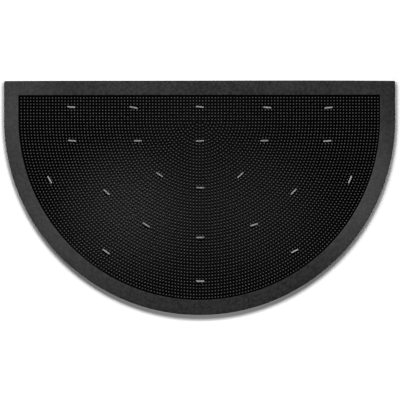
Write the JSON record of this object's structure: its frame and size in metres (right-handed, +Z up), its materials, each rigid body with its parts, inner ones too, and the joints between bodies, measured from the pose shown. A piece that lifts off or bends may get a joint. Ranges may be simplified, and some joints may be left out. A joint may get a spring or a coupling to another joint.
{
  "type": "half-round rubber doormat",
  "caption": "Half-round black rubber doormat: a flat rim round a sunken field of scraper pins in rows and half rings, set with short grey bristle brushes.",
  "frame": {"origin": "middle of the underside, on the floor", "axes": "+X along the straight edge, +Y towards the straight edge at the door sill, +Z up"},
  "size_m": [0.751, 0.4506, 0.0082],
  "materials": {
    "rubber": "matte moulded black rubber with a fine grain",
    "bristle": "trimmed grey bristle ends"
  },
  "bodies": {
    "root": {"mat": "rubber", "brush_01": "bristle", "brush_02": "bristle", "brush_03": "bristle", "brush_04": "bristle", "brush_05": "bristle", "brush_06": "bristle", "brush_07": "bristle", "brush_08": "bristle", "brush_09": "bristle", "brush_10": "bristle", "brush_11": "bristle", "brush_12": "bristle", "brush_13": "bristle", "brush_14": "bristle", "brush_15": "bristle", "brush_16": "bristle", "brush_17": "bristle", "brush_18": "bristle", "brush_19": "bristle", "brush_20": "bristle", "brush_21": "bristle", "brush_22": "bristle", "brush_23": "bristle"}
  },
  "joints": []
}
